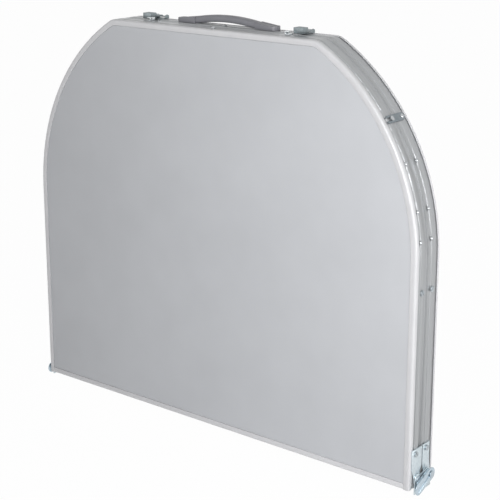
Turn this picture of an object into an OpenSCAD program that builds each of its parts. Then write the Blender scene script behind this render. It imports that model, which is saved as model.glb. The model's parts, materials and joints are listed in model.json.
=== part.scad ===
// Folding camping table that closes into a flat case.
// It stands folded on its hinge edge, with the carry handle on top.
// X runs along the hinge edge, Y through the folded thickness (front half
// at negative Y), Z up. The origin is on the floor, under the middle.
// Section coordinates: r is the distance out from the edge outline
// (0 at the outline, negative inwards), d the distance from the mid plane.

/* [Table halves] */
// Length of the hinge edge, which is the width of the open table
table_w = 700; // [660:1:760]
// Depth of one half, from the hinge edge to the handle edge
half_h = 600; // [590:1:640]
// Thickness of one half, out to the face of its trim
half_t = 30; // [29.5:0.5:33]
// Radius of the large bend at each side
bend_r = 320; // [300:1:326]
// Radius of the small corner between bend and handle edge
corner_r = 27.5; // [22:0.5:32]
// Gap between the two closed halves
mid_gap = 0.6; // [0.4:0.1:1.5]

/* [Edge profile] */
// Wall of the edge profile
rim_wall = 2; // [1.6:0.1:2.4]
// How far the raised band stands out of the profile
band_rise = 1; // [0.8:0.1:1.1]
// Rounding of the raised band's edges
band_round = 1.2; // [1.2:0.1:1.6]
// Distance of the band's inner edge from the mid plane
band_in = 8; // [7:0.1:8.5]
// Distance of the band's outer edge from the mid plane
band_out = 19; // [18.5:0.1:20]
// Width of the flange that carries the board
seat_w = 12; // [10:0.5:13]
// Width of the inner lip that stiffens the profile
lip_w = 6; // [4:0.5:8]

/* [Board and trim] */
// Thickness of the table board
board_t = 5.9; // [5:0.1:6.4]
// Width of the trim face around the board
trim_w = 9; // [8:0.5:11]
// Thickness of the trim face
trim_face = 1.3; // [1:0.1:1.6]
// Thickness of the trim where it turns over the side
trim_side = 1.6; // [1.4:0.1:2]
// Depth of the trim on the side of the table
trim_depth = 7.5; // [6.5:0.1:8]
// Rounding of the outer trim edge
trim_round = 3; // [2:0.1:3.4]

/* [Hinge] */
// Height of the hinge edge above the floor
edge_z = 8; // [7:0.5:14]
// Distance of each hinge pin from the mid plane
pin_y = 12.5; // [12:0.1:13.5]
// Radius of a hinge pin
pin_r = 3; // [2.5:0.1:3.5]
// Width of a hinge plate
plate_w = 17; // [16:0.5:18]
// Height of the top of a hinge plate above the hinge edge
plate_top = 58; // [50:1:70]
// Thickness of a hinge plate
plate_t = 1.5; // [1.5:0.1:2.4]
// Thickness of the link that joins the two pins
link_t = 1.8; // [1.8:0.1:2.5]
// Height of the lock bar channel
bar_h = 18; // [16:0.5:18.5]
// Depth of the lock bar channel, out from the table
bar_d = 4; // [3.5:0.5:9]
// Length of the lock bar in front of its pin
bar_front = 41; // [34:0.5:41]
// Downward slope of the hanging lock bar
bar_slope = 20; // [16:0.5:20.5]

/* [Legs] */
// Distance of the leg pivots below the handle edge
leg_drop = 40; // [38:1:45]
// How much nearer to the middle the rear legs are than the front legs
leg_stagger = 30; // [28:1:38]
// Outer radius of the leg tube
leg_r = 9.5; // [9:0.1:9.8]
// Wall of the leg tube
leg_wall = 1.2; // [1:0.1:1.5]
// Length of the fixed leg tube, from its pivot
leg_len = 340; // [320:1:345]
// How far the folded foot reaches out of the fixed tube
foot_out = 60; // [50:1:70]
// Distance of the cross tube from the pivot
cross_at = 110; // [95:1:120]
// Radius of pivot tube and cross tube
cross_r = 8; // [7:0.1:8.2]
// Distance of the stay pin from the leg pivot
stay_at = 150; // [140:1:160]
// Distance of the stay catch from the leg pivot
catch_at = 185; // [175:1:195]
// Width of a stay bar
stay_w = 12; // [10:0.5:13]

/* [Handle and catches] */
// Clear distance between the two handle mounts
grip_len = 110; // [100:1:120]
// Length of a handle mount
mount_len = 41; // [36:1:44]
// Height of the grip pivot above the handle edge
grip_pivot = 7.4; // [7.2:0.1:8]
// Rise of the arched grip over its pivots
grip_rise = 7.5; // [6:0.1:10]
// Width of the grip
grip_w = 13; // [12:0.1:13.2]
// Thickness of the grip
grip_t = 7; // [6:0.1:8]
// Distance of each top clip from the middle
clip_x = 130; // [126:1:140]
// Width of a top clip
clip_w = 28; // [24:1:30]
// Angle of the side catches on the large bend
catch_angle = 35; // [30:1:38]

/* [Hidden] */
$fn = 64;

// Running clearance of pins and the small gap of seated pieces
run_gap = 0.05;
seat_gap = 0.1;
part_gap = 0.3;

// Outline of one half. The line from the bend's centre to the corner's
// centre follows the long side of a 33-56-65 triangle, so that the two arcs
// meet at a point that is known exactly; its ends are kept to 0.01 mm.
side_x = table_w / 2;
bend_x = side_x - bend_r;
corner_z = half_h - corner_r;
bend_run = 33;
bend_climb = 56;
bend_unit = (bend_r - corner_r) / 65;
bend_far = table_w / 50 * [bend_run, bend_climb];
corner_x = bend_x + round(100 * bend_unit * bend_run) / 100;
side_h = corner_z - round(100 * bend_unit * bend_climb) / 100;

// Section of the edge, in distances from the mid plane. The board has a rebate
// all round, in which the trim lies; its middle is raised nearly to the trim.
d_in = mid_gap / 2;
d_face = d_in + half_t;
d_board = d_face - trim_face - seat_gap - board_t;
d_seat = d_board - seat_gap;
board_rise = trim_face + seat_gap - 0.4;
seat_t = 1.5;
lip_t = 1.8;
gusset_w = 66;
gusset_h = 70;
r_wall = -band_rise;
r_inner = r_wall - rim_wall;
r_seat = r_inner - seat_w;
d_step = d_face - trim_depth - part_gap;
d_rim = d_face - trim_face - seat_gap * 5;

// Colours, as the photograph shows them
silver = [0.66, 0.67, 0.68];
pale = [0.80, 0.81, 0.82];
bright = [0.90, 0.90, 0.91];
zinc = [0.72, 0.77, 0.80];
dark = [0.36, 0.37, 0.39];
grey_plastic = [0.50, 0.50, 0.52];

// Rivets, at angles round the large bend, counted up from its lower end
rivet_angles = [24, 12.4, 5.1];
front_row_d = 18;
rear_row_d = 9;
rivet_r = 1.6;
rivet_head = 3.2;
dome_h = 1.6;

// Hinge, measured from the hinge edge
pin_z = pin_y - 0.15;
eye_r = 8;
plate_x = side_x + seat_gap;
link_x = plate_x + plate_t + part_gap;
relief_r = pin_z - 0.1;
front_plate_d = 17.5;
rear_plate_d = 10;
screw_z = plate_top - 7;
side_screw_drop = 41;
side_screw_z = side_h - side_screw_drop;
front_side_screw_d = 14;
rear_side_screw_d = 10.5;
screw_r = 2;
pan_r = 4;
pan_h = 2;
shoulder_r = 5;
shoulder_t = 1.4;
bar_x = link_x + link_t + shoulder_t + 0.4;
bar_t = 1.5;
bar_rear = 10;

// Legs, in the middle of their tray
leg_d = d_board / 2;
leg_pivot_h = half_h - leg_drop;
leg_reach = leg_len + foot_out;
bore_r = leg_r - leg_wall;
inner_r = bore_r - part_gap;
foot_r = leg_r + 1;
foot_h = 14;
foot_floor = 8;
collar_h = 20;
inner_start = stay_at;
inner_end = leg_reach - foot_floor;
bracket_gap = 1.5;
bracket_w = 10;
bracket_wall = 2.6;
bracket_tail = 20;
bracket_play = 3.5;
clip_wall = 2;
base_t = 2;
stay_t = 2.5;
stay_gap = 1.6;
stay_pin_r = 2.5;
stay_end_d = d_board - base_t - seat_gap - 0.4 - stay_w / 2;
stay_drop = stay_at - leg_d + stay_end_d;
stay_len = sqrt(catch_at * catch_at + stay_drop * stay_drop);
stay_ear_w = 16;
stay_ear_gap = 1.3;

// The brackets stand just inside the board seat, where the bend narrows the
// tray; the legs stand beside them
tray_top = leg_pivot_h + cross_r + bracket_wall - side_h;
tray_x = bend_x + sqrt(pow(bend_r + r_seat, 2) - pow(tray_top, 2));
front_leg_x = round(tray_x - bracket_play - bracket_w - bracket_gap - leg_r);
rear_leg_x = front_leg_x - leg_stagger;

// Handle and catches, measured from the top of the raised band
hold_d = d_in + half_t / 2;
mount_w = 18;
mount_h = 11.5;
grip_r = (pow(grip_len / 2, 2) + pow(grip_rise, 2)) / (2 * grip_rise);
grip_half_a = asin(grip_len / 2 / grip_r);
grip_pin_r = 2.5;
grip_pin_len = 10;
clip_pin_d = 24;
clip_pin_z = 5;
clip_pin_r = 1.5;
barrel_r = 3.2;
ear_t = 1.5;
clip_ear_r = 4.5;
clip_base_t = 1.4;
keeper_box = [7, 10, 5];
keeper_t = 1.2;
keeper_d = 14;
catch_rivet_d = 15.2;
stud_d = 10;
fork_d = 17.5;
stud_r = 2;
catch_w = 11;
catch_gap = 0.4;
catch_t = 1.5;

// Placement

// Puts a child drawn for the front half at its height
module front() {
  translate([0, 0, edge_z]) children();
}

// The rear half is the mirror image of the front half
module rear() {
  mirror([0, 1, 0]) front() children();
}

// Draws a child at the right and, mirrored, at the left
module both_sides() {
  for (side = [0, 1]) mirror([side, 0, 0]) children();
}

// Places a child on the large bend, with its Z pointing outwards
module on_bend(angle, d) {
  translate([bend_x, 0, side_h])
    rotate([0, -angle, 0])
      translate([bend_r, -d, 0])
        rotate([0, 90, 0]) children();
}

// Places a child on the straight side, with its Z pointing outwards
module on_side(z, d) {
  translate([side_x, -d, z]) rotate([0, 90, 0]) children();
}

// Places a child on the handle edge, with its Z pointing up
module on_top(x, d) {
  translate([x, -d, half_h]) children();
}

// Turns a section through a quarter circle of the given radius
module quarter_turn(radius, fn) {
  rotate_extrude(angle = 90, $fn = fn)
    mirror([0, 1]) translate([radius, 0]) children();
}

// A block beside the line through both centres: the side below it, or above
module beside_line(low) {
  side = 2 * half_t;
  translate([0, 0, -side])
    linear_extrude(2 * side)
      polygon(low
        ? [[0, 0], [half_t, -side], [table_w, -side], [table_w, bend_far[1]], bend_far]
        : [[0, 0], bend_far, [-side, bend_far[1]], [-side, 0]]);
}

// Sweeps a section (x is r, y is -d) up the sides and over the top
module along_rim() {
  both_sides() {
    translate([side_x, 0, 0]) linear_extrude(side_h) children();
    translate([bend_x, 0, side_h])
      rotate([90, 0, 0]) {
        intersection() {
          quarter_turn(bend_r, 240) children();
          beside_line(true);
        }
        intersection() {
          translate([corner_x - bend_x, corner_z - side_h, 0])
            quarter_turn(corner_r, 120) children();
          beside_line(false);
        }
      }
    translate([corner_x, 0, half_h])
      rotate([0, -90, 0]) linear_extrude(corner_x) children();
  }
}

// Runs a section along the hinge edge, with r pointing down
module along_hinge(reach) {
  translate([-reach, 0, 0])
    rotate([0, 90, 0]) linear_extrude(2 * reach) children();
}

// A rectangle of a section, from its limits in r and d
module block2(r0, r1, d0, d1) {
  translate([r0, -d1]) square([r1 - r0, d1 - d0]);
}

// Outline of one half in x and z, drawn in by the given distance
module half_outline(inset, bottom) {
  both_sides() {
    polygon([[0, bottom], [side_x - inset, bottom], [side_x - inset, side_h],
      [bend_x, side_h], [corner_x, corner_z], [corner_x, half_h - inset],
      [0, half_h - inset]]);
    translate([bend_x, side_h])
      intersection() {
        circle(bend_r - inset, $fn = 240);
        polygon([[0, 0], [table_w, 0], [table_w, bend_far[1]], bend_far]);
      }
    translate([corner_x, corner_z])
      intersection() {
        circle(corner_r - inset, $fn = 120);
        polygon([[0, 0], bend_far, [0, bend_far[1]]]);
      }
  }
}

// A rounded rectangle, centred
module rounded_rect(w, h, r) {
  square([w - 2 * r, h], center = true);
  square([w, h - 2 * r], center = true);
  for (x = [-1, 1], y = [-1, 1])
    translate([x * (w / 2 - r), y * (h / 2 - r)]) circle(r);
}

// Edge profile and board

// Section of the flange that carries the board, and of the wall beside it
module seat_section() {
  block2(r_inner, -trim_side - part_gap, d_step - 1, d_rim);
  block2(r_seat, r_inner, d_seat - seat_t, d_seat);
}

// Section of the edge profile: wall, board seat, inner lip and raised band
module rim_section() {
  root = r_wall - rim_wall / 2;
  block2(r_inner, r_wall, d_in, d_step);
  seat_section();
  block2(r_inner - lip_w, r_inner, d_in, d_in + lip_t);
  block2(root, 0, band_in + band_round, band_out - band_round);
  for (d = [band_in + band_round, band_out - band_round])
    intersection() {
      translate([-band_round, -d]) circle(band_round, $fn = 24);
      block2(root, 1, d - 3, d + 3);
    }
}

// Section of the hinge rail, rolled round the pin axis so that the halves
// clear each other while they open
module rail_section() {
  roll = pin_z + r_wall;
  block2(r_inner, r_wall, pin_y, d_step);
  seat_section();
  intersection() {
    translate([-pin_z, -pin_y])
      difference() {
        circle(roll);
        circle(roll - rim_wall);
      }
    block2(-pin_z, 0, 0, pin_y);
  }
  block2(-pin_z - lip_w, -pin_z, pin_y - roll, pin_y - roll + rim_wall);
}

// Section of the trim: a face over the board edge and a rounded turn
module trim_section() {
  turn = trim_round;
  block2(-trim_w, -turn, d_face - trim_face, d_face);
  block2(-trim_side, 0, d_face - trim_depth, d_face - turn);
  intersection() {
    difference() {
      translate([-turn, -d_face + turn]) circle(turn);
      block2(-turn - 1, -trim_side, d_face - turn - 1, d_face - trim_face);
    }
    block2(-turn, 0, d_face - turn, d_face);
  }
}

module board() {
  edge = -r_inner + part_gap;
  middle = trim_w + part_gap;
  translate([0, -d_board, 0])
    rotate([90, 0, 0]) {
      linear_extrude(board_t) half_outline(edge, edge);
      translate([0, 0, board_t / 2])
        linear_extrude(board_t / 2 + board_rise) half_outline(middle, middle);
    }
}

// Every rivet place on one half
module rivet_places(row_d) {
  both_sides()
    for (a = rivet_angles) on_bend(a, row_d) children();
  on_top(0, row_d) children();
}

// The space that the other half needs when both turn about their pins
module hinge_relief() {
  reach = side_x + 5;
  difference() {
    translate([-reach, -pin_y, -1]) cube([2 * reach, pin_y + 1, pin_z + 1]);
    translate([-reach - 1, -pin_y, pin_z])
      rotate([0, 90, 0]) cylinder(h = 2 * reach + 2, r = relief_r);
  }
}

// A domed rivet, seated on the plane it is drawn on
module rivet(grip) {
  cap_r = (pow(rivet_head, 2) + pow(dome_h, 2)) / (2 * dome_h);
  translate([0, 0, seat_gap]) {
    intersection() {
      translate([0, 0, dome_h - cap_r]) sphere(cap_r);
      cylinder(h = dome_h + 1, r = rivet_head + 1);
    }
    translate([0, 0, -grip]) cylinder(h = grip + dome_h / 2, r = rivet_r);
  }
}

// The profile of one half, with the holes for its fasteners
module side_rim(row_d, catch_d, hole_r, plate_d, screw_d) {
  difference() {
    along_rim() rim_section();
    hinge_relief();
    rivet_places(row_d) translate([0, 0, -9]) cylinder(h = 12, r = rivet_r + run_gap);
    both_sides() {
      on_bend(catch_angle, catch_d)
        translate([0, 0, -9]) cylinder(h = 12, r = hole_r + run_gap);
      on_side(screw_z, plate_d)
        translate([0, 0, -9]) cylinder(h = 12, r = screw_r + run_gap);
      on_side(side_screw_z, screw_d)
        translate([0, 0, -9]) cylinder(h = 12, r = screw_r + run_gap);
    }
  }
}

module hinge_rail() {
  along_hinge(side_x + r_seat - part_gap) rail_section();
}

module hinge_trim() {
  along_hinge(side_x - trim_w - seat_gap) trim_section();
}

// Corner plates that tie the side profile to the hinge rail
module gussets() {
  d_top = d_seat - seat_t - seat_gap;
  low = -r_inner + part_gap;
  out = side_x + r_inner - part_gap;
  both_sides()
    translate([0, -d_top + seat_t, 0])
      rotate([90, 0, 0])
        linear_extrude(seat_t)
          polygon([[out, low], [out, gusset_h], [out - seat_w, gusset_h],
            [out - gusset_w, low + seat_w], [out - gusset_w, low]]);
}

// Hinge pieces

// Plate screwed to the side of one half, rounded round its pin
module hinge_plates(plate_d) {
  half = plate_w / 2;
  both_sides()
    difference() {
      translate([plate_x, 0, 0])
        rotate([90, 0, 90])
          linear_extrude(plate_t) {
            translate([-pin_y, pin_z]) circle(eye_r);
            translate([-pin_y - eye_r, pin_z]) square([2 * eye_r, eye_r]);
            polygon([[-pin_y - eye_r, pin_z + 4], [-pin_y + eye_r, pin_z + 4],
              [-plate_d + half, pin_z + 18], [-plate_d + half, plate_top],
              [-plate_d - half, plate_top], [-plate_d - half, pin_z + 18]]);
          }
      translate([plate_x - 1, -pin_y, pin_z])
        rotate([0, 90, 0]) cylinder(h = plate_t + 2, r = pin_r + run_gap);
      translate([plate_x - 1, -plate_d, screw_z])
        rotate([0, 90, 0]) cylinder(h = plate_t + 2, r = screw_r + run_gap);
    }
}

// A slotted screw whose head rests on the plane it is drawn on
module slotted_screw() {
  difference() {
    union() {
      cylinder(h = pan_h, r = pan_r);
      translate([0, 0, -8]) cylinder(h = 8.5, r = screw_r);
    }
    rotate([0, 0, 35])
      translate([-pan_r - 1, -0.5, pan_h - 1]) cube([2 * pan_r + 2, 1, 2]);
  }
}

module side_screws(plate_d, screw_d) {
  both_sides() {
    on_side(screw_z, plate_d)
      translate([0, 0, plate_x + plate_t - side_x]) slotted_screw();
    on_side(side_screw_z, screw_d) translate([0, 0, seat_gap]) slotted_screw();
  }
}

// Link between the two pins; the folded table stands on its lower edge
module hinge_links() {
  foot_half = pin_y + eye_r;
  color(zinc) front() both_sides()
    difference() {
      translate([link_x, 0, 0])
        rotate([90, 0, 90])
          linear_extrude(link_t) {
            for (y = [-pin_y, pin_y]) translate([y, pin_z]) circle(eye_r);
            translate([-foot_half, -edge_z])
              square([2 * foot_half, pin_z + edge_z]);
            translate([-pin_y, pin_z]) square([2 * pin_y, eye_r - 2]);
          }
      for (y = [-pin_y, pin_y])
        translate([link_x - 1, y, pin_z])
          rotate([0, 90, 0]) cylinder(h = link_t + 2, r = pin_r);
    }
}

// Shouldered pins; the rear one is longer and carries the lock bar
module hinge_pins() {
  start = plate_x + 0.2;
  color(dark) front() both_sides()
    for (y = [-pin_y, pin_y])
      translate([start, y, pin_z])
        rotate([0, 90, 0]) {
          cylinder(h = link_x + link_t + shoulder_t - start, r = pin_r);
          translate([0, 0, link_x + link_t - start])
            cylinder(h = shoulder_t, r = shoulder_r);
          if (y > 0) {
            cylinder(h = bar_x + bar_d + 1.5 - start, r = pin_r);
            translate([0, 0, bar_x + bar_d + part_gap - start])
              cylinder(h = 1.8, r = shoulder_r);
          }
        }
}

// Channel that swings over both pins and locks the open table
module lock_bar() {
  half = bar_h / 2;
  color(zinc)
    front()
      translate([bar_x, pin_y, pin_z])
        rotate([bar_slope, 0, 0])
          difference() {
            union() {
              translate([bar_d - bar_t, 0, 0])
                rotate([90, 0, 90])
                  linear_extrude(bar_t) {
                    translate([half - bar_front, 0]) circle(half);
                    translate([bar_rear - half, 0]) circle(half);
                    translate([half - bar_front, -half])
                      square([bar_front + bar_rear - bar_h, bar_h]);
                  }
              for (z = [-half, half - bar_t])
                translate([0, half - bar_front, z])
                  cube([bar_d, bar_front + bar_rear - bar_h, bar_t]);
            }
            rotate([0, 90, 0])
              cylinder(h = bar_d + 1, r = pin_r + run_gap);
          }
}

// Leg pieces

// Draws a child with its Z along the folded leg, from the leg's pivot down
module down_leg(x) {
  translate([x, -leg_d, leg_pivot_h]) rotate([180, 0, 0]) children();
}

// A tube along X, centred on the leg frame
module cross_piece(at, reach, r) {
  translate([-reach, -leg_d, leg_pivot_h - at])
    rotate([0, 90, 0]) cylinder(h = 2 * reach, r = r);
}

module leg_frame(x) {
  pivot_reach = x + leg_r + bracket_gap + bracket_w;
  stay_out = x - leg_r - stay_gap;
  difference() {
    union() {
      cross_piece(0, pivot_reach, cross_r);
      cross_piece(cross_at, x, cross_r);
      both_sides() {
        down_leg(x) cylinder(h = leg_len, r = leg_r);
        translate([stay_out - stay_t - 1.5, -leg_d, leg_pivot_h - stay_at])
          rotate([0, 90, 0]) {
            cylinder(h = x - stay_out + stay_t, r = stay_pin_r);
            cylinder(h = 1.2, r = stay_pin_r + 2);
          }
      }
    }
    cross_piece(0, pivot_reach + 1, cross_r - leg_wall);
    cross_piece(cross_at, x - leg_r, cross_r - leg_wall);
    both_sides()
      down_leg(x) translate([0, 0, cross_r + 2]) cylinder(h = leg_len, r = bore_r);
  }
}

// Plastic collar at the mouth of each leg tube
module leg_collars(x) {
  both_sides()
    down_leg(x)
      translate([0, 0, leg_len - collar_h / 2])
        difference() {
          cylinder(h = collar_h, r = foot_r);
          translate([0, 0, -1]) cylinder(h = collar_h + 2, r = bore_r);
          translate([0, 0, -1]) cylinder(h = collar_h / 2 + 1 + run_gap, r = leg_r + run_gap);
        }
}

module leg_tube(x) {
  down_leg(x)
    translate([0, 0, inner_start])
      difference() {
        cylinder(h = inner_end - inner_start, r = inner_r);
        translate([0, 0, -1])
          cylinder(h = inner_end - inner_start + 2, r = inner_r - leg_wall);
      }
}

module leg_foot(x) {
  down_leg(x)
    translate([0, 0, leg_reach - foot_h])
      difference() {
        rotate_extrude()
          polygon([[0, 0], [foot_r - 1, 0], [foot_r, 1], [foot_r, foot_h - 2],
            [foot_r - 2, foot_h], [0, foot_h]]);
        translate([0, 0, -1])
          cylinder(h = 1 + foot_h - foot_floor + run_gap, r = inner_r + run_gap);
      }
}

// Bearing blocks on the board that carry the pivot tube
module leg_brackets(x) {
  wall = cross_r + bracket_wall;
  both_sides()
    translate([x + leg_r + bracket_gap, -leg_d, leg_pivot_h])
      rotate([90, 0, 90])
        linear_extrude(bracket_w)
          difference() {
            union() {
              circle(wall);
              translate([-d_board + seat_gap + leg_d, -wall])
                square([d_board - seat_gap - leg_d, 2 * wall]);
              translate([-d_board + seat_gap + leg_d, -wall - bracket_tail])
                square([base_t, bracket_tail + 1]);
            }
            circle(cross_r + run_gap);
          }
}

// Fork on the board that holds the folded leg frame by its cross tube
module tube_clip() {
  inside = cross_r + 0.5;
  translate([-8, -leg_d, leg_pivot_h - cross_at])
    rotate([90, 0, 90])
      linear_extrude(16)
        difference() {
          translate([-d_board + seat_gap + leg_d, -inside - clip_wall])
            square([d_board - seat_gap - leg_d + 2, 2 * (inside + clip_wall)]);
          translate([-d_board + seat_gap + leg_d + base_t, -inside])
            square([d_board, 2 * inside]);
        }
}

// Stay bars, pinned to the legs and folded flat beside them
module stays(x) {
  both_sides()
    translate([x - leg_r - stay_gap - stay_t, -leg_d, leg_pivot_h - stay_at])
      rotate([90, 0, 90])
        linear_extrude(stay_t)
          difference() {
            union() {
              circle(stay_w / 2);
              translate([-stay_w / 2, -stay_len]) square([stay_w, stay_len]);
              translate([0, -stay_len]) circle(stay_w / 2);
            }
            circle(stay_pin_r + run_gap);
          }
}

// Spring ears on the board that take the free ends of the stays
module stay_catches(x) {
  bar_inside = x - leg_r - stay_gap - stay_t;
  ear = [base_t, d_board - seat_gap - leg_d, stay_ear_w];
  low = leg_pivot_h - catch_at - stay_ear_w / 2;
  both_sides() {
    translate([bar_inside - stay_ear_gap - ear[0], -d_board + seat_gap, low])
      cube(ear);
    translate([bar_inside - stay_ear_w * 3 / 4, -d_board + seat_gap, low])
      cube([stay_ear_w, base_t, stay_ear_w]);
  }
}

// Handle and catch pieces

module handle_mount() {
  inner = grip_len / 2 + part_gap;
  difference() {
    on_top(inner, hold_d - mount_w / 2)
      rotate([90, 0, 0])
        linear_extrude(mount_w)
          polygon([[0, seat_gap], [mount_len, seat_gap], [mount_len - 3, 4],
            [mount_len - 12, mount_h - 2], [mount_len - 24, mount_h], [0, mount_h]]);
    on_top(inner - 1, hold_d)
      translate([0, 0, grip_pivot])
        rotate([0, 90, 0]) cylinder(h = grip_pin_len + 2.5, r = grip_pin_r + run_gap);
  }
}

// Arched grip with a pin at each end
module handle_grip() {
  color(grey_plastic) rear() {
    intersection() {
      on_top(0, hold_d)
        translate([0, 0, grip_pivot + grip_rise - grip_r])
          rotate([90, 0, 0])
            rotate([0, 0, 90 - grip_half_a])
              rotate_extrude(angle = 2 * grip_half_a, $fn = 240)
                translate([grip_r, 0]) rounded_rect(grip_t, grip_w, 2.5);
      on_top(-grip_len / 2, hold_d + 20) cube([grip_len, 40, 40]);
    }
    both_sides()
      on_top(0, hold_d)
        translate([grip_len / 2 - 6, 0, grip_pivot])
          rotate([0, 90, 0]) {
            cylinder(h = 6, r = grip_t / 2);
            cylinder(h = 6 + grip_pin_len, r = grip_pin_r);
          }
  }
}

// Lever of a top clip, a bent strip on a barrel
module top_clip() {
  strip = clip_pin_d / 24 * [[-24, 7.4], [-14, 9.6], [-4, 9], [4, 6.6], [8, 3],
    [6.6, 2.2], [2.6, 5.2], [-4.4, 7.4], [-14, 8], [-24, 5.8]];
  color(zinc) rear()
    on_top(clip_x - clip_w / 2, 0)
      rotate([90, 0, 90])
        difference() {
          union() {
            linear_extrude(clip_w) polygon(strip);
            translate([-clip_pin_d, clip_pin_z, 0]) cylinder(h = clip_w, r = barrel_r);
          }
          translate([-clip_pin_d, clip_pin_z, -1])
            cylinder(h = clip_w + 2, r = clip_pin_r + run_gap);
        }
}

// Base of a top clip: a plate, two ears and the lever's pin
module clip_base() {
  outer = clip_w / 2 + part_gap + ear_t;
  on_top(clip_x, clip_pin_d) {
    translate([-outer, -clip_ear_r, seat_gap])
      cube([2 * outer, 4 * clip_ear_r, clip_base_t]);
    for (side = [0, 1])
      mirror([side, 0, 0])
        translate([outer - ear_t, 0, 0])
          rotate([90, 0, 90])
            linear_extrude(ear_t) {
              translate([0, clip_pin_z]) circle(clip_ear_r);
              translate([-clip_ear_r, seat_gap]) square([2 * clip_ear_r, clip_pin_z]);
            }
    translate([-outer, 0, clip_pin_z])
      rotate([0, 90, 0]) cylinder(h = 2 * outer, r = clip_pin_r);
  }
}

// Hook beside each top clip, on the front half
module keeper() {
  lip_x = clip_x - clip_w / 2 - 0.5;
  on_top(lip_x, keeper_d)
    translate([-keeper_box[0], 0, seat_gap]) {
      cube([keeper_box[0], keeper_box[1], keeper_t]);
      cube([keeper_t, keeper_box[1], keeper_box[2]]);
      translate([0, 0, keeper_box[2] - keeper_t]) cube([keeper_box[0], keeper_box[1] / 3, keeper_t]);
    }
}

// Leaf plate on the bend whose open fork snaps over the stud
module side_catch() {
  on_bend(catch_angle, 0)
    translate([0, 0, catch_gap])
      linear_extrude(catch_t)
        difference() {
          union() {
            translate([0, -catch_rivet_d]) circle(catch_w / 2);
            translate([-catch_w / 2, -catch_rivet_d]) square([catch_w, catch_rivet_d + fork_d]);
            translate([0, fork_d]) circle(catch_w / 2);
          }
          translate([0, stud_d]) circle(stud_r + part_gap);
          translate([-stud_r - part_gap, stud_d]) square([2 * (stud_r + part_gap), 20]);
          translate([0, -catch_rivet_d]) circle(rivet_r + run_gap);
        }
}

// Headed stud on the front half, in the mouth of the fork
module catch_stud() {
  on_bend(catch_angle, stud_d) {
    translate([0, 0, -5]) cylinder(h = 9, r = stud_r);
    translate([0, 0, catch_gap + catch_t + part_gap]) cylinder(h = 1.4, r = stud_r + 1.5);
  }
}

// Named pieces

module front_board() { color(silver) front() board(); }
module front_rim() {
  color(silver) front()
    side_rim(front_row_d, stud_d, stud_r, front_plate_d, front_side_screw_d);
}
module front_trim() { color(bright) front() along_rim() trim_section(); }
module front_hinge_rail() { color(silver) front() hinge_rail(); }
module front_hinge_trim() { color(bright) front() hinge_trim(); }
module front_gussets() { color(silver) front() gussets(); }
module front_hinge_plates() { color(zinc) front() hinge_plates(front_plate_d); }
module front_side_screws() {
  color(dark) front() side_screws(front_plate_d, front_side_screw_d);
}
module front_rivets() { color(bright) front() rivet_places(front_row_d) rivet(5); }
module front_leg_brackets() { color(dark) front() leg_brackets(front_leg_x); }
module front_tube_clip() { color(dark) front() tube_clip(); }
module front_stay_catches() { color(zinc) front() stay_catches(front_leg_x); }
module front_catch_studs() { color(bright) front() both_sides() catch_stud(); }
module front_keepers() { color(bright) front() both_sides() keeper(); }
module front_leg_frame() { color(silver) front() leg_frame(front_leg_x); }
module front_leg_collars() { color(dark) front() leg_collars(front_leg_x); }
module front_left_leg() { color(pale) front() leg_tube(-front_leg_x); }
module front_left_foot() { color(dark) front() leg_foot(-front_leg_x); }
module front_right_leg() { color(pale) front() leg_tube(front_leg_x); }
module front_right_foot() { color(dark) front() leg_foot(front_leg_x); }
module front_stays() { color(zinc) front() stays(front_leg_x); }

module rear_board() { color(silver) rear() board(); }
module rear_rim() {
  color(silver) rear()
    side_rim(rear_row_d, catch_rivet_d, rivet_r, rear_plate_d, rear_side_screw_d);
}
module rear_trim() { color(bright) rear() along_rim() trim_section(); }
module rear_hinge_rail() { color(silver) rear() hinge_rail(); }
module rear_hinge_trim() { color(bright) rear() hinge_trim(); }
module rear_gussets() { color(silver) rear() gussets(); }
module rear_hinge_plates() { color(zinc) rear() hinge_plates(rear_plate_d); }
module rear_side_screws() {
  color(dark) rear() side_screws(rear_plate_d, rear_side_screw_d);
}
module rear_rivets() { color(bright) rear() rivet_places(rear_row_d) rivet(5); }
module rear_leg_brackets() { color(dark) rear() leg_brackets(rear_leg_x); }
module rear_tube_clip() { color(dark) rear() tube_clip(); }
module rear_stay_catches() { color(zinc) rear() stay_catches(rear_leg_x); }
module side_catches() { color(dark) rear() both_sides() side_catch(); }
module catch_rivets() {
  color(bright) rear() both_sides()
    on_bend(catch_angle, catch_rivet_d)
      translate([0, 0, catch_gap + catch_t]) rivet(7);
}
module clip_bases() { color(zinc) rear() both_sides() clip_base(); }
module clip_left() { mirror([1, 0, 0]) top_clip(); }
module clip_right() { top_clip(); }
module handle_mounts() { color(grey_plastic) rear() both_sides() handle_mount(); }
module rear_leg_frame() { color(silver) rear() leg_frame(rear_leg_x); }
module rear_leg_collars() { color(dark) rear() leg_collars(rear_leg_x); }
module rear_left_leg() { color(pale) rear() leg_tube(-rear_leg_x); }
module rear_left_foot() { color(dark) rear() leg_foot(-rear_leg_x); }
module rear_right_leg() { color(pale) rear() leg_tube(rear_leg_x); }
module rear_right_foot() { color(dark) rear() leg_foot(rear_leg_x); }
module rear_stays() { color(zinc) rear() stays(rear_leg_x); }
module lock_bar_left() { mirror([1, 0, 0]) lock_bar(); }
module lock_bar_right() { lock_bar(); }

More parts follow.
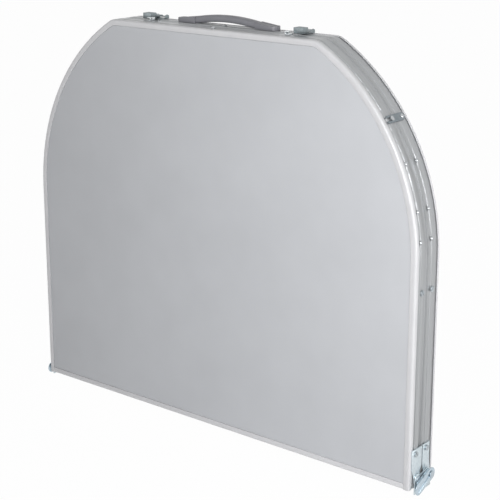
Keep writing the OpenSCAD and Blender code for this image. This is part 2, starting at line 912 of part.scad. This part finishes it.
front_board();
front_rim();
front_trim();
front_hinge_rail();
front_hinge_trim();
front_gussets();
front_hinge_plates();
front_side_screws();
front_rivets();
front_leg_brackets();
front_tube_clip();
front_stay_catches();
front_catch_studs();
front_keepers();
front_leg_frame();
front_leg_collars();
front_left_leg();
front_left_foot();
front_right_leg();
front_right_foot();
front_stays();
rear_board();
rear_rim();
rear_trim();
rear_hinge_rail();
rear_hinge_trim();
rear_gussets();
rear_hinge_plates();
rear_side_screws();
rear_rivets();
rear_leg_brackets();
rear_tube_clip();
rear_stay_catches();
side_catches();
catch_rivets();
clip_bases();
clip_left();
clip_right();
handle_mounts();
handle_grip();
rear_leg_frame();
rear_leg_collars();
rear_left_leg();
rear_left_foot();
rear_right_leg();
rear_right_foot();
rear_stays();
hinge_links();
hinge_pins();
lock_bar_left();
lock_bar_right();
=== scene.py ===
import json
import math

import bmesh
import bpy
from mathutils import Matrix, Vector

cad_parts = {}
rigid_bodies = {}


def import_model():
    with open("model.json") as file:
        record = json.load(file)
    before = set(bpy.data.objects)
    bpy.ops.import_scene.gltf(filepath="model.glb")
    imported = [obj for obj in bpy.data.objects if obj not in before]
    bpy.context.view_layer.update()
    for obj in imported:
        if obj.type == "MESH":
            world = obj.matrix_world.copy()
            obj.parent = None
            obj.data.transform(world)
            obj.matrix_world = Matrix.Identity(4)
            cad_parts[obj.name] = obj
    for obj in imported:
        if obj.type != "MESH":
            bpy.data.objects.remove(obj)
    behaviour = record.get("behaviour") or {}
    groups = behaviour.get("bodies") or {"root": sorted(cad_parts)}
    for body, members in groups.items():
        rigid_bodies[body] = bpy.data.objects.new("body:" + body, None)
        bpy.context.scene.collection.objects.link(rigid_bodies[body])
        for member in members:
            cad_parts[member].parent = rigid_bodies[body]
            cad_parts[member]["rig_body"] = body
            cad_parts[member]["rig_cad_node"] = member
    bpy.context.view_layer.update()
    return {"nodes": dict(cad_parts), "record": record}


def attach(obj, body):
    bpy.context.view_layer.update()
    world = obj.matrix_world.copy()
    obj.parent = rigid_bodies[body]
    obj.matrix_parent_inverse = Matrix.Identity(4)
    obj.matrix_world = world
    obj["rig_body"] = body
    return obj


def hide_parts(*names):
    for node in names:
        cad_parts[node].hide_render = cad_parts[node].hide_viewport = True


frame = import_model()
nodes = frame["nodes"]
body_of = {
    node: body
    for body, group in frame["record"]["behaviour"]["bodies"].items()
    for node in group
}
slot_of = {part["node"]: part["material_slot"] for part in frame["record"]["subparts"]}

# Sizes are in mm up to the call that takes metres
MM = 0.001
# Vertices nearer to each other than this are one
MERGE = 0.002
# A vertex nearer to a plane than this lies in it
TOUCH = 0.1
# In degrees: faces at less than this are one flat face, and at less than the other are
# shaded as one smooth surface
FLAT = 0.3
SMOOTH = 40.0
# A face whose normal has more than this along an axis looks that way
FACING = 0.9
# Middle of each top clip, to the right and left of the case's middle
CLIP_X = 138.0
# Top of the profile's raised band on the handle edge
BAND_TOP = 608.0
# Middle of the handle, in the thickness of the rear half
HANDLE_Y = 15.3
# Share of the room's white light that falls on the pieces
ROOM_LIGHT = 0.15


# Helpers for materials


def linear(hex_colour):
    """sRGB hex to the linear RGBA that the shaders use."""
    parts = [int(hex_colour[i : i + 2], 16) / 255 for i in (1, 3, 5)]
    return tuple(
        c / 12.92 if c <= 0.04045 else ((c + 0.055) / 1.055) ** 2.4 for c in parts
    ) + (1.0,)


def add(owner, kind, inputs=None, **settings):
    """Adds a node to a material or world. An input is a number, a colour or a link."""
    node = owner.node_tree.nodes.new("ShaderNode" + kind)
    for key, value in settings.items():
        setattr(node, key, value)
    for key, value in (inputs or {}).items():
        if isinstance(value, bpy.types.NodeSocket):
            owner.node_tree.links.new(value, node.inputs[key])
        else:
            node.inputs[key].default_value = value
    return node


def new_finish(name, metallic, roughness, **sockets):
    """A material, its Principled shader and the piece's own coordinates."""
    material = bpy.data.materials.new(name)
    material.use_nodes = True
    shader = material.node_tree.nodes["Principled BSDF"]
    shader.inputs["Metallic"].default_value = metallic
    shader.inputs["Roughness"].default_value = roughness
    for key, value in sockets.items():
        shader.inputs[key.replace("_", " ")].default_value = value
    place = add(material, "TexCoord").outputs["Object"]
    return material, shader, place


def colour_and_relief(shader, material, colours, tint, relief, strength, height=0.1):
    """Gives the shader a colour between two by one pattern, and a bump by another."""
    tone = add(material, "ValToRGB", {"Fac": tint})
    for stop, colour in zip(tone.color_ramp.elements, colours):
        stop.color = linear(colour)
    bump = add(
        material,
        "Bump",
        {"Height": relief, "Strength": strength, "Distance": height * MM},
    )
    links = material.node_tree.links
    links.new(tone.outputs["Color"], shader.inputs["Base Color"])
    links.new(bump.outputs["Normal"], shader.inputs["Normal"])
    return material


# Finishes, one for each material slot of the part. A pattern's scale is 1000 divided by
# its size in mm


def satin_laminate():
    # Aluminium-coloured laminate: even grey, with a faint cloudiness a hand wide
    # (70 mm) and a grain of about 0.5 mm that breaks up the sheen
    cloud_scale, grain_scale = 14.0, 2000.0
    m, shader, place = new_finish("satin_aluminium_laminate", 0.12, 0.42)
    cloud = add(m, "TexNoise", {"Vector": place, "Scale": cloud_scale, "Detail": 2.0})
    grain = add(m, "TexNoise", {"Vector": place, "Scale": grain_scale, "Detail": 1.0})
    tint, relief = cloud.outputs["Fac"], grain.outputs["Fac"]
    return colour_and_relief(shader, m, ("#C3C5C9", "#CCCED2"), tint, relief, 0.12)


def drawn_aluminium(name, colours, stretch, metallic=0.55, roughness=0.36):
    # Mill-finished extrusion: die lines 1 to 2 mm apart run along the profile and
    # give the metal its silky streaks
    m, shader, place = new_finish(name, metallic, roughness)
    lines = add(m, "Mapping", {"Vector": place, "Scale": stretch}).outputs["Vector"]
    streaks = add(m, "TexNoise", {"Vector": lines, "Scale": 1.0, "Detail": 1.5})
    pattern = streaks.outputs["Fac"]
    return colour_and_relief(shader, m, colours, pattern, pattern, 0.05)


def bright_anodising():
    # Bright-dipped, clear anodised trim: nearly white, smooth, with a soft gloss,
    # clouds of 17 mm and a satin etch of 0.7 mm
    cloud_scale, etch_scale = 60.0, 1500.0
    m, shader, place = new_finish("bright_anodised_aluminium", 0.05, 0.26)
    cloud = add(m, "TexNoise", {"Vector": place, "Scale": cloud_scale, "Detail": 2.0})
    etch = add(m, "TexNoise", {"Vector": place, "Scale": etch_scale})
    tint, relief = cloud.outputs["Fac"], etch.outputs["Fac"]
    return colour_and_relief(shader, m, ("#D6D6D9", "#DEDEE0"), tint, relief, 0.05)


def zinc_plating(name, colours, roughness):
    # Electroplated zinc on pressed steel: bluish, with patches of 3 to 5 mm that
    # are a little brighter or darker, and the 11 mm unevenness of pressed sheet
    patch_scale, dent_scale, dent_height = 260.0, 90.0, 0.2
    m, shader, place = new_finish(name, 0.85, roughness)
    patch = add(m, "TexVoronoi", {"Vector": place, "Scale": patch_scale})
    dents = add(m, "TexNoise", {"Vector": place, "Scale": dent_scale, "Detail": 3.0})
    mixed = add(
        m,
        "Mix",
        {"Factor": 0.5, "A": patch.outputs["Distance"], "B": dents.outputs["Fac"]},
    )
    tint, relief = mixed.outputs["Result"], dents.outputs["Fac"]
    return colour_and_relief(shader, m, colours, tint, relief, 0.2, dent_height)


def turned_rivet():
    # Bright aluminium rivet head, upset in a cup die: smooth, with handling marks of
    # 1.1 mm
    mark_scale = 900.0
    m, shader, place = new_finish("bright_upset_aluminium", 0.9, 0.24)
    marks = add(m, "TexNoise", {"Vector": place, "Scale": mark_scale, "Detail": 2.0})
    pattern = marks.outputs["Fac"]
    return colour_and_relief(shader, m, ("#A9ACAF", "#BFC2C4"), pattern, pattern, 0.08)


def moulded_plastic(name, colours, grain_size, roughness):
    # Injection-moulded plastic with an eroded grain, and 22 mm flow marks that
    # barely show
    flow_scale = 45.0
    m, shader, place = new_finish(name, 0.0, roughness, IOR=1.5)
    grain = add(
        m, "TexNoise", {"Vector": place, "Scale": 1000.0 / grain_size, "Detail": 2.0}
    )
    flow = add(m, "TexNoise", {"Vector": place, "Scale": flow_scale})
    tint, relief = flow.outputs["Fac"], grain.outputs["Fac"]
    return colour_and_relief(shader, m, colours, tint, relief, 0.3)


# Die lines lie 1.4 mm apart and about 170 mm long: along the case's edge, along a leg
# tube, and level on the gussets
APART, LONG = 700.0, 6.0
ALONG_EDGE = (LONG, APART, LONG)
ALONG_LEG = (APART, APART, LONG)
LEVEL = (LONG, LONG, APART)

finishes = {
    "board": satin_laminate(),
    "edge_profile": drawn_aluminium(
        "mill_drawn_profile",
        ("#9C9EA0", "#B4B6B8"),
        ALONG_EDGE,
        metallic=0.5,
        roughness=0.3,
    ),
    "trim": bright_anodising(),
    "gusset": drawn_aluminium("mill_sheet", ("#A0A2A4", "#B0B2B4"), LEVEL),
    "hinge_steel": zinc_plating("bright_zinc_plate", ("#B7C3C9", "#DCE5E9"), 0.3),
    "pin_steel": zinc_plating("dull_zinc_pin", ("#A3AEB6", "#C4CED4"), 0.3),
    "lock_bar_steel": zinc_plating("bright_zinc_channel", ("#A7B7C2", "#CFDCE4"), 0.24),
    "screw_steel": zinc_plating("dull_zinc_screw", ("#9AA1A6", "#BCC3C7"), 0.3),
    "rivet": turned_rivet(),
    "leg_plastic": moulded_plastic(
        "black_moulded_nylon", ("#1F2022", "#2A2B2D"), grain_size=0.5, roughness=0.5
    ),
    "foot_rubber": moulded_plastic(
        "black_moulded_rubber", ("#1A1A1C", "#232325"), grain_size=0.8, roughness=0.75
    ),
    "stay_steel": zinc_plating("zinc_stay_strip", ("#AEB8BE", "#D2DADE"), 0.32),
    "keeper_steel": zinc_plating("bright_nickel_plate", ("#C8CCCE", "#E6EAEC"), 0.2),
    "clip_steel": zinc_plating("pressed_zinc_clip", ("#757D80", "#969EA1"), 0.36),
    "catch_steel": zinc_plating("dull_zinc_leaf", ("#6E757A", "#929A9F"), 0.36),
    "handle_plastic": moulded_plastic(
        "grey_moulded_handle", ("#84848A", "#929298"), grain_size=0.6, roughness=0.45
    ),
    "leg_frame": drawn_aluminium("satin_tube", ("#B4B6B8", "#C6C8CA"), ALONG_LEG),
    "leg_tube": drawn_aluminium("satin_inner_tube", ("#C6C8CA", "#D8DADC"), ALONG_LEG),
}
for name, node in nodes.items():
    for place in node.material_slots:
        place.material = finishes[slot_of[name]]


# Helpers for shapes


def mm(*sizes):
    """A place, move or size in mm, as metres."""
    return tuple(size * MM for size in sizes)


def deselect_all():
    if bpy.context.object and bpy.context.object.mode != "OBJECT":
        bpy.ops.object.mode_set(mode="OBJECT")
    bpy.ops.object.select_all(action="DESELECT")


def make_active(piece):
    deselect_all()
    piece.select_set(True)
    bpy.context.view_layer.objects.active = piece


def edit(piece):
    """Edit mode, with everything selected."""
    make_active(piece)
    bpy.ops.object.mode_set(mode="EDIT")
    bpy.ops.mesh.select_all(action="SELECT")


def pick(piece, kind, test):
    """In edit mode, selects just the vertices, edges or faces that pass the test."""
    bpy.ops.mesh.select_mode(type=kind)
    bpy.ops.mesh.select_all(action="DESELECT")
    mesh = bmesh.from_edit_mesh(piece.data)
    for part in {"VERT": mesh.verts, "EDGE": mesh.edges, "FACE": mesh.faces}[kind]:
        part.select_set(test(part))
    mesh.select_flush_mode()
    bmesh.update_edit_mesh(piece.data)


def close_up(piece):
    """Merges doubles and turns all faces outwards."""
    edit(piece)
    bpy.ops.mesh.remove_doubles(threshold=MERGE * MM)
    bpy.ops.mesh.normals_make_consistent(inside=False)
    bpy.ops.object.mode_set(mode="OBJECT")


def apply_modifier(piece, kind, **settings):
    make_active(piece)
    modifier = piece.modifiers.new(kind.lower(), kind)
    for key, value in settings.items():
        setattr(modifier, key, value)
    bpy.ops.object.modifier_apply(modifier=modifier.name)


def break_edges(piece, width, segments, angle):
    """Rounds the edges that are sharper than the angle, and smooths the shading."""
    apply_modifier(
        piece,
        "BEVEL",
        width=width * MM,
        segments=segments,
        limit_method="ANGLE",
        angle_limit=math.radians(angle),
    )
    make_active(piece)
    bpy.ops.object.shade_smooth_by_angle(angle=math.radians(SMOOTH))


def settle(name):
    """Names the primitive just added, and moves its place and turn into its mesh."""
    piece = bpy.context.object
    piece.name = piece.data.name = name
    bpy.ops.object.transform_apply(location=True, rotation=True, scale=True)
    return piece


def start_block(name, centre, size, turn=0.0):
    """A cuboid to shape, turned about X."""
    deselect_all()
    bpy.ops.mesh.primitive_cube_add(
        size=1.0, location=mm(*centre), rotation=(turn, 0.0, 0.0), scale=mm(*size)
    )
    return settle(name)


def add_copy(piece, name):
    """A copy of a piece with its own mesh."""
    double = piece.copy()
    double.data = piece.data.copy()
    double.name = double.data.name = name
    bpy.context.scene.collection.objects.link(double)
    return double


def goes_with(piece, node):
    """Gives the piece the finish and body of a CAD node."""
    piece.data.materials.clear()
    piece.data.materials.append(finishes[slot_of[node]])
    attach(piece, body_of[node])


def stands_for(piece, node):
    """Gives the piece the finish, body and place of a CAD node."""
    goes_with(piece, node)
    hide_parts(node)


# Changes to single CAD pieces, made on their softened copies in edit mode


def low_base(piece):
    # The clip bases, drawn in to the narrow, low ones of the photograph. They stay
    # seated on the handle edge
    pin_y, seat_z, narrower, lower = 24.0, 608.1, 0.6, 0.62
    for side in (-1, 1):
        pick(piece, "VERT", lambda v: v.co.x * side > 0)
        bpy.ops.transform.resize(
            value=(narrower, 1.0, lower), center_override=mm(side * CLIP_X, pin_y, seat_z)
        )


def near_clip(piece):
    # The hooks, moved out beside the levers
    outwards = 14.0
    for side in (-1, 1):
        pick(piece, "VERT", lambda v: v.co.x * side > 0)
        bpy.ops.transform.translate(value=mm(side * outwards, 0.0, 0.0))


def wide_plate(piece):
    # The hinge plates, widened above the pins until they nearly meet at the seam
    above_pins = 34.0
    for inner_y, move in ((-9.0, 7.6), (1.5, -0.8)):
        pick(
            piece,
            "VERT",
            lambda v: abs(v.co.y - inner_y * MM) < TOUCH * MM
            and v.co.z > above_pins * MM,
        )
        bpy.ops.transform.translate(value=mm(0.0, move, 0.0))


def drawn_back(piece):
    # The rear trim's flange, drawn back from the profile's shoulder: a dark groove
    flange_y, reach, move = 22.8, 0.15, 3.0
    pick(piece, "VERT", lambda v: abs(v.co.y - flange_y * MM) < reach * MM)
    bpy.ops.transform.translate(value=mm(0.0, move, 0.0))


def seam_lip(piece):
    # A lip on the outer side of the profile, along the seam: it gives the bright line
    width, height, across, outwards = 1.7, 0.8, 0.2, 0.1
    middle = Vector(mm(0.0, 0.0, 300.0))
    furthest_back = max(v.co.y for v in piece.data.vertices)
    side = 1.0 if furthest_back > 10.0 * MM else -1.0
    bpy.ops.mesh.select_all(action="SELECT")
    bpy.ops.mesh.bisect(plane_co=mm(0.0, side * width, 0.0), plane_no=(0.0, 1.0, 0.0))
    pick(
        piece,
        "FACE",
        lambda f: abs(f.calc_center_median().y) < width * MM
        and abs(f.normal.y) < across
        and f.normal.dot(f.calc_center_median() - middle) > outwards,
    )
    bpy.ops.mesh.extrude_region_shrink_fatten(
        TRANSFORM_OT_shrink_fatten={"value": height * MM, "use_even_offset": True}
    )


shapes = {
    "front_rim": seam_lip, "rear_rim": seam_lip,
    "clip_bases": low_base, "front_keepers": near_clip, "rear_trim": drawn_back,
    "front_hinge_plates": wide_plate, "rear_hinge_plates": wide_plate,
}


# CAD pieces with their edges broken, as extruded, pressed and moulded parts have them.
# The carry handle and the clip levers are modelled anew below


def soften(node, width):
    """A merged copy with its edges broken takes the CAD node's place."""
    piece = add_copy(nodes[node], node + "_softened")
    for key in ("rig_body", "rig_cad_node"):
        if key in piece:
            del piece[key]
    piece.parent = None
    piece.matrix_world = Matrix.Identity(4)
    make_active(piece)
    bpy.ops.mesh.customdata_custom_splitnormals_clear()
    edit(piece)
    bpy.ops.mesh.remove_doubles(threshold=MERGE * MM)
    bpy.ops.mesh.dissolve_limited(angle_limit=math.radians(FLAT))
    if node in shapes:
        shapes[node](piece)
    bpy.ops.object.mode_set(mode="OBJECT")
    break_edges(piece, width, segments=2, angle=35)
    stands_for(piece, node)


# How wide each broken edge may be. The bevel goes narrower where edges lie close
# together: the two rims stay sharp, and the leg frames nearly so
breaks = {
    "front_rim": 0.3, "rear_rim": 0.3, "front_trim": 0.3, "rear_trim": 0.3,
    "front_hinge_rail": 0.3, "rear_hinge_rail": 0.3,
    "front_hinge_trim": 0.3, "rear_hinge_trim": 0.3,
    "front_board": 0.4, "rear_board": 0.4, "front_gussets": 0.3, "rear_gussets": 0.3,
    "front_hinge_plates": 0.5, "rear_hinge_plates": 0.5, "hinge_links": 0.4,
    "hinge_pins": 0.4, "lock_bar_left": 0.5, "lock_bar_right": 0.5,
    "front_side_screws": 0.4, "rear_side_screws": 0.4,
    "front_rivets": 0.1, "rear_rivets": 0.1, "catch_rivets": 0.1,
    "front_catch_studs": 0.3, "front_keepers": 0.3, "side_catches": 0.4,
    "clip_bases": 0.3,
    "front_leg_brackets": 0.6, "rear_leg_brackets": 0.6,
    "front_tube_clip": 0.5, "rear_tube_clip": 0.5,
    "front_stay_catches": 0.4, "rear_stay_catches": 0.4,
    "front_leg_frame": 0.3, "rear_leg_frame": 0.3,
    "front_leg_collars": 0.5, "rear_leg_collars": 0.5,
    "front_stays": 0.4, "rear_stays": 0.4,
    "front_left_leg": 0.3, "front_right_leg": 0.3,
    "rear_left_leg": 0.3, "rear_right_leg": 0.3,
    "front_left_foot": 0.5, "front_right_foot": 0.5,
    "rear_left_foot": 0.5, "rear_right_foot": 0.5,
}
for node, width in breaks.items():
    soften(node, width)


# Carry handle: a grip moulded thick and soft-edged, between two rounded mounts


def moulded_grip():
    # An arch that is half spun from the middle and then mirrored. It ends 0.5 mm
    # short of the mounts
    thick, wide, corner, crown = 10.0, 14.0, 3.8, 14.6
    arch_half, arch_rise, past_arch, end_x = 52.0, 4.4, 4.5, 54.8
    radius = (arch_half**2 + arch_rise**2) / (2 * arch_rise)
    top = BAND_TOP + crown - thick / 2
    deselect_all()
    bpy.ops.mesh.primitive_plane_add(
        size=wide * MM,
        location=mm(0.0, HANDLE_Y, top),
        rotation=(0.0, math.pi / 2, 0.0),
    )
    grip = settle("moulded_grip")
    edit(grip)
    bpy.ops.transform.resize(
        value=(1.0, 1.0, thick / wide), center_override=mm(0.0, HANDLE_Y, top)
    )
    bpy.ops.mesh.bevel(offset=corner * MM, segments=5, affect="VERTICES")
    bpy.ops.mesh.select_all(action="SELECT")
    bpy.ops.mesh.delete(type="ONLY_FACE")
    bpy.ops.mesh.select_all(action="SELECT")
    bpy.ops.mesh.spin(
        steps=26,
        angle=math.asin((arch_half + past_arch) / radius),
        center=mm(0.0, HANDLE_Y, top - radius),
        axis=(0.0, 1.0, 0.0),
    )
    bpy.ops.mesh.select_all(action="SELECT")
    furthest_right = max(v.co.x for v in bmesh.from_edit_mesh(grip.data).verts)
    side = 1.0 if furthest_right > 10.0 * MM else -1.0
    bpy.ops.mesh.bisect(
        plane_co=mm(side * end_x, 0.0, 0.0),
        plane_no=(side, 0.0, 0.0),
        use_fill=True,
        clear_outer=True,
    )
    bpy.ops.object.mode_set(mode="OBJECT")
    apply_modifier(
        grip, "MIRROR", use_axis=(True, False, False), merge_threshold=0.01 * MM
    )
    close_up(grip)
    break_edges(grip, 0.8, segments=3, angle=50)
    stands_for(grip, "handle_grip")


def moulded_mounts():
    # Blocks 35 mm long, rounded in plan and lower at the outer end, with a shallow
    # pocket on top
    inner, outer, wide, high = 55.3, 90.3, 18.0, 9.4
    gap, end_corner, drop = 0.1, 7.5, 3.4
    outer_half, upper_half = 75.0, 612.0
    rim, step, depth = 4.0, 0.5, 0.6
    mounts = start_block(
        "moulded_mounts",
        ((inner + outer) / 2, HANDLE_Y, BAND_TOP + gap + high / 2),
        (outer - inner, wide, high),
    )
    edit(mounts)
    pick(
        mounts,
        "EDGE",
        lambda e: all(v.co.x > (outer - TOUCH) * MM for v in e.verts)
        and abs(e.verts[0].co.y - e.verts[1].co.y) < TOUCH * MM,
    )
    bpy.ops.mesh.bevel(offset=end_corner * MM, segments=7)
    pick(
        mounts,
        "VERT",
        lambda v: v.co.x > outer_half * MM and v.co.z > upper_half * MM,
    )
    bpy.ops.transform.translate(value=mm(0.0, 0.0, -drop))
    pick(mounts, "FACE", lambda f: f.normal.z > FACING)
    bpy.ops.mesh.inset(thickness=rim * MM, depth=0.0)
    bpy.ops.mesh.inset(thickness=step * MM, depth=-depth * MM)
    bpy.ops.object.mode_set(mode="OBJECT")
    apply_modifier(mounts, "MIRROR", use_axis=(True, False, False))
    close_up(mounts)
    break_edges(mounts, 1.7, segments=4, angle=50)
    stands_for(mounts, "handle_mounts")


# Pressed steel: the levers of the top clips, and a rib on each lock bar


def pressed_levers():
    # A folded block with a pocket on top, over the seam, and a flat tongue back to the
    # barrel on the pin
    block_y, block_z, block_size = 1.5, 613.8, (15.0, 13.0, 8.4)
    neck, tongue, tongue_y, tongue_z = 4.0, 12.0, 12.0, 611.4
    narrower, flatter, block_end = 0.8, 0.3, 8.0
    rim, step, depth = 2.0, 0.6, 0.9
    lever = start_block("pressed_lever_right", (CLIP_X, block_y, block_z), block_size)
    edit(lever)
    pick(lever, "FACE", lambda f: f.normal.y > FACING)
    bpy.ops.mesh.extrude_region_move(
        TRANSFORM_OT_translate={"value": mm(0.0, neck, 0.0)}
    )
    bpy.ops.transform.resize(
        value=(narrower, 1.0, flatter), center_override=mm(CLIP_X, tongue_y, tongue_z)
    )
    bpy.ops.mesh.extrude_region_move(
        TRANSFORM_OT_translate={"value": mm(0.0, tongue, 0.0)}
    )
    pick(
        lever,
        "FACE",
        lambda f: f.normal.z > FACING and f.calc_center_median().y < block_end * MM,
    )
    bpy.ops.mesh.inset(thickness=rim * MM, depth=0.0)
    bpy.ops.mesh.inset(thickness=step * MM, depth=-depth * MM)
    bpy.ops.object.mode_set(mode="OBJECT")
    close_up(lever)
    break_edges(lever, 0.7, segments=2, angle=35)
    other = add_copy(lever, "pressed_lever_left")
    other.data.transform(Matrix.Translation(mm(-2 * CLIP_X, 0.0, 0.0)))
    stands_for(lever, "clip_right")
    stands_for(other, "clip_left")


def pressed_ribs():
    # A half-round rib along the middle of each lock bar, from the pin to the free end
    pin_end, free_end = Vector((10.0, 17.4)), Vector((-20.0, 4.3))
    face_x, deep, wide, corner = 359.5, 2.4, 4.4, 1.15
    middle, run = (pin_end + free_end) / 2, pin_end - free_end
    for node, side in (("lock_bar_right", 1), ("lock_bar_left", -1)):
        rib = start_block(
            node + "_rib",
            (side * face_x, middle.x, middle.y),
            (deep, run.length, wide),
            turn=math.atan2(run.y, run.x),
        )
        break_edges(rib, corner, segments=4, angle=30)
        goes_with(rib, node)


moulded_grip()
moulded_mounts()
pressed_levers()
pressed_ribs()


# Studio floor, white room, lamps and camera


def floor_finish():
    # Plain pale studio floor. The camera and reflections see nearly all of it as
    # white light, and the rest as a matt floor that keeps the table's shadow
    seen_as_light = 0.98
    m, shader, _ = new_finish("pale_studio_floor", 0.0, 0.9, Specular_IOR_Level=0.0)
    shader.inputs["Base Color"].default_value = linear("#F2F2F2")
    tree = m.node_tree
    ray = add(m, "LightPath")
    seen = add(
        m,
        "Math",
        {0: ray.outputs["Is Camera Ray"], 1: ray.outputs["Is Glossy Ray"]},
        operation="ADD",
        use_clamp=True,
    )
    share = add(m, "Math", {0: seen.outputs[0], 1: seen_as_light}, operation="MULTIPLY")
    glow = add(m, "Emission", {"Color": (1.0, 1.0, 1.0, 1.0), "Strength": 1.0})
    mixed = add(
        m, "MixShader", {0: share.outputs[0], 1: shader.outputs[0], 2: glow.outputs[0]}
    )
    tree.links.new(mixed.outputs[0], tree.nodes["Material Output"].inputs["Surface"])
    return m


def white_room():
    # Plain white for the camera and in reflections, a low even light for the rest
    room = bpy.data.worlds.new("white_room")
    room.use_nodes = True
    tree = room.node_tree
    ray = add(room, "LightPath")
    seen = add(
        room,
        "Math",
        {0: ray.outputs["Is Camera Ray"], 1: ray.outputs["Is Glossy Ray"]},
        operation="MAXIMUM",
    )
    either = add(
        room,
        "Math",
        {0: seen.outputs[0], 1: ray.outputs["Is Transmission Ray"]},
        operation="MAXIMUM",
    )
    level = add(
        room,
        "MapRange",
        {"Value": either.outputs[0], "To Min": ROOM_LIGHT, "To Max": 1.0},
    )
    background = tree.nodes["Background"]
    background.inputs["Color"].default_value = (1.0, 1.0, 1.0, 1.0)
    tree.links.new(level.outputs[0], background.inputs["Strength"])
    return room


def soft_box(name, place, target, width, height, watts):
    """A rectangular area lamp. Its place, target and size are in metres."""
    lamp = bpy.data.lights.new(name, "AREA")
    lamp.shape = "RECTANGLE"
    lamp.size = width
    lamp.size_y = height
    lamp.energy = watts
    box = bpy.data.objects.new(name, lamp)
    bpy.context.scene.collection.objects.link(box)
    box.location = place
    towards = Vector(target) - Vector(place)
    box.rotation_euler = towards.to_track_quat("-Z", "Y").to_euler()


deselect_all()
bpy.ops.mesh.primitive_plane_add(size=12.0, location=(0.0, 0.0, 0.0))
floor = bpy.context.object
floor.name = "studio_floor"
floor.data.materials.append(floor_finish())
bpy.context.scene.world = white_room()
soft_box(
    "key_soft_box",
    place=(1.1, -1.25, 0.85),
    target=(0.25, 0.0, 0.35),
    width=0.8,
    height=0.8,
    watts=18.0,
)
soft_box(
    "side_soft_box",
    place=(2.1, 0.2, 0.42),
    target=(0.3, 0.0, 0.18),
    width=1.2,
    height=1.0,
    watts=14.5,
)
soft_box(
    "fill_soft_box",
    place=(-1.5, -2.5, 0.9),
    target=(0.0, 0.0, 0.3),
    width=2.0,
    height=1.6,
    watts=6.6,
)

# The photograph's viewpoint. A slightly shifted lens holds the upright edges nearer to
# parallel. The focal length is in pixels of the square frame, and the place in metres
FRAME_PX = 500
FOCAL_PX = 1319.6
SENSOR = 36.0
SHIFT_UP = -0.08
VIEW_FROM = (1.1912, -1.4432, 0.8444)
yaw, pitch, roll = math.radians(-38.29), math.radians(15.11), math.radians(-0.01)
ahead = Vector(
    (math.sin(yaw) * math.cos(pitch), math.cos(yaw) * math.cos(pitch), -math.sin(pitch))
)
level_right = Vector((math.cos(yaw), -math.sin(yaw), 0.0))
level_up = level_right.cross(ahead)
right = level_right * math.cos(roll) + level_up * math.sin(roll)
up = level_up * math.cos(roll) - level_right * math.sin(roll)
lens = bpy.data.cameras.new("photo_camera")
lens.sensor_width = SENSOR
lens.lens = FOCAL_PX / FRAME_PX * SENSOR
lens.shift_y = SHIFT_UP
camera = bpy.data.objects.new("photo_camera", lens)
bpy.context.scene.collection.objects.link(camera)
facing = Matrix((right, up, -ahead)).transposed()
camera.matrix_world = Matrix.Translation(VIEW_FROM) @ facing.to_4x4()
bpy.context.scene.camera = camera
bpy.context.scene.view_settings.view_transform = "Standard"
